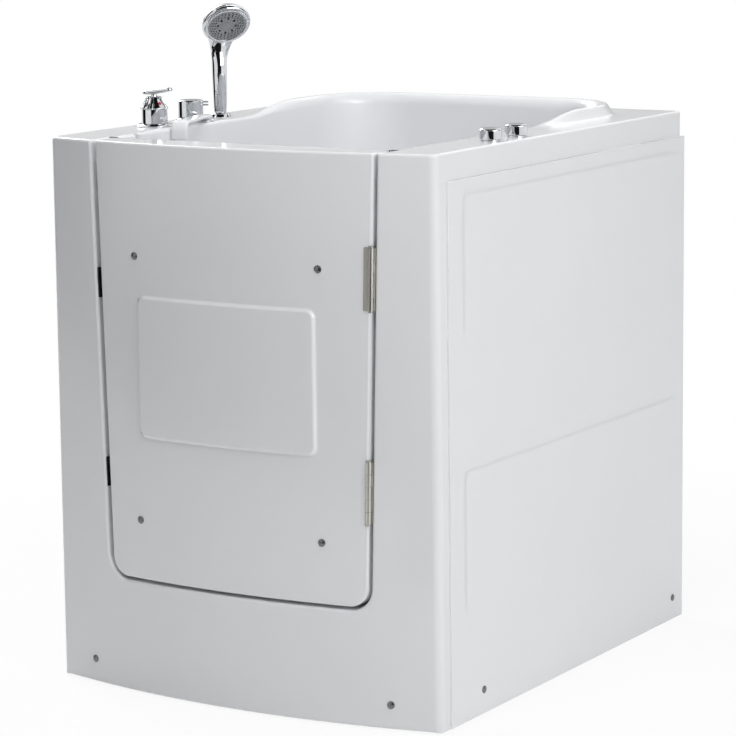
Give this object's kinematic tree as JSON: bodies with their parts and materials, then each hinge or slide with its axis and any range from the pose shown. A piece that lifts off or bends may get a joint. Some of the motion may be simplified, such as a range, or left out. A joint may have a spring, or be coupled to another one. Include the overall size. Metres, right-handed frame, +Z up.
{
  "type": "walk-in bathtub",
  "caption": "White walk-in bathtub with an outward-opening hinged door in a bowed front, a raised rim behind the bather and a chrome mixer, diverter, spout and hand shower on the left deck.",
  "frame": {"origin": "on the floor, under the middle of the tub's outline", "axes": "+X to the right seen from the front, +Y towards the back, +Z up"},
  "size_m": [0.788, 0.96, 1.1703],
  "materials": {
    "acrylic": "gloss",
    "chrome": "polished",
    "stainless": "satin",
    "zinc": "satin",
    "black_rubber": "matte",
    "black_plastic": "satin",
    "grey_plastic": "satin",
    "pipe_plastic": "satin",
    "brass": "satin",
    "red_plastic": "gloss",
    "plywood": "matte"
  },
  "bodies": {
    "tub": {"tub_shell": "acrylic", "front_moulding": "acrylic", "side_panel_left": "acrylic", "side_panel_right": "acrylic", "door_seal": "black_rubber", "latch_keepers": "black_plastic", "hinge_frame_leaves": "stainless", "hinge_pins": "stainless", "front_screw_caps": "chrome", "side_screw_caps": "chrome", "frame_long_rails": "zinc", "frame_cross_rails": "zinc", "frame_uprights": "zinc", "frame_mid_rails": "zinc", "seat_bearers": "zinc", "panel_brackets": "zinc", "deck_pads": "zinc", "base_board": "plywood", "foot_pads": "black_rubber", "foot_studs": "stainless", "foot_nuts": "stainless", "drain_bodies": "chrome", "waste_pipe": "pipe_plastic", "overflow_rose": "chrome", "overflow_pipe": "pipe_plastic", "mixer_flange": "chrome", "mixer_body": "chrome", "mixer_valve": "brass", "diverter_flange": "chrome", "diverter_valve": "brass", "spout_flange": "chrome", "spout": "acrylic", "handset_holder": "chrome", "supply_pipes": "brass", "link_pipes": "brass", "knob_bushes": "chrome"},
    "door": {"door_casing": "acrylic", "door_liner": "acrylic", "hinge_door_leaves": "stainless", "door_screw_caps": "chrome", "latch_rose": "chrome"},
    "latch_lever": {"latch_handle": "chrome"},
    "latch_slider": {"latch_bar": "stainless"},
    "mixer_cap": {"mixer_hood": "chrome", "mixer_index": "red_plastic", "mixer_pivot_pin": "stainless"},
    "mixer_handle": {"mixer_lever": "chrome"},
    "diverter": {"diverter_knob": "chrome"},
    "handset": {"handset_body": "chrome", "handset_face": "grey_plastic"},
    "spray_ring": {"handset_ring": "chrome"},
    "front_knob": {"drain_knob_front": "chrome"},
    "back_knob": {"drain_knob_back": "chrome"},
    "left_plug": {"drain_plug_left": "chrome"},
    "right_plug": {"drain_plug_right": "chrome"}
  },
  "joints": [
    {"name": "door_hinge", "type": "hinge", "parent": "tub", "child": "door", "pos_m": [0.27307, -0.45141, 0.578], "axis": [0.0252, 0, 0.9997], "range_deg": [0, 115]},
    {"name": "latch_turn", "type": "hinge", "parent": "door", "child": "latch_lever", "pos_m": [-0.19, -0.398, 0.64], "axis": [0, -1, 0], "range_deg": [0, 90]},
    {"name": "latch_slide", "type": "slide", "parent": "door", "child": "latch_slider", "axis": [-1, 0, 0], "range_m": [0, 0.012]},
    {"name": "mixer_swivel", "type": "hinge", "parent": "tub", "child": "mixer_cap", "pos_m": [-0.335, -0.185, 1], "axis": [0, 0, 1], "range_deg": [-60, 60]},
    {"name": "mixer_tilt", "type": "hinge", "parent": "mixer_cap", "child": "mixer_handle", "pos_m": [-0.335, -0.185, 1.0158], "axis": [0, -1, 0], "range_deg": [0, 8]},
    {"name": "diverter_turn", "type": "hinge", "parent": "tub", "child": "diverter", "pos_m": [-0.352, -0.048, 0.98], "axis": [0, 0, 1], "range_deg": [-45, 45]},
    {"name": "handset_lift", "type": "slide", "parent": "tub", "child": "handset", "axis": [0, 0, 1], "range_m": [0, 0.15]},
    {"name": "spray_turn", "type": "hinge", "parent": "handset", "child": "spray_ring", "pos_m": [-0.3055, 0.006, 1.13], "axis": [0.5902, -0.4881, -0.643], "range_deg": [-40, 40]},
    {"name": "front_knob_turn", "type": "hinge", "parent": "tub", "child": "front_knob", "pos_m": [0.354, -0.189, 0.97], "axis": [0, 0, 1], "range_deg": [0, 90]},
    {"name": "left_plug_lift", "type": "slide", "parent": "tub", "child": "left_plug", "axis": [0, 0, 1], "range_m": [0, 0.008]},
    {"name": "back_knob_turn", "type": "hinge", "parent": "tub", "child": "back_knob", "pos_m": [0.354, -0.1, 0.97], "axis": [0, 0, 1], "range_deg": [0, 90]},
    {"name": "right_plug_lift", "type": "slide", "parent": "tub", "child": "right_plug", "axis": [0, 0, 1], "range_m": [0, 0.008]}
  ],
  "couplings": [
    {"joint": "latch_slide", "follows": "latch_turn", "m_per_rad": 0.007639},
    {"joint": "left_plug_lift", "follows": "front_knob_turn", "m_per_rad": 0.005092},
    {"joint": "right_plug_lift", "follows": "back_knob_turn", "m_per_rad": 0.005092}
  ]
}
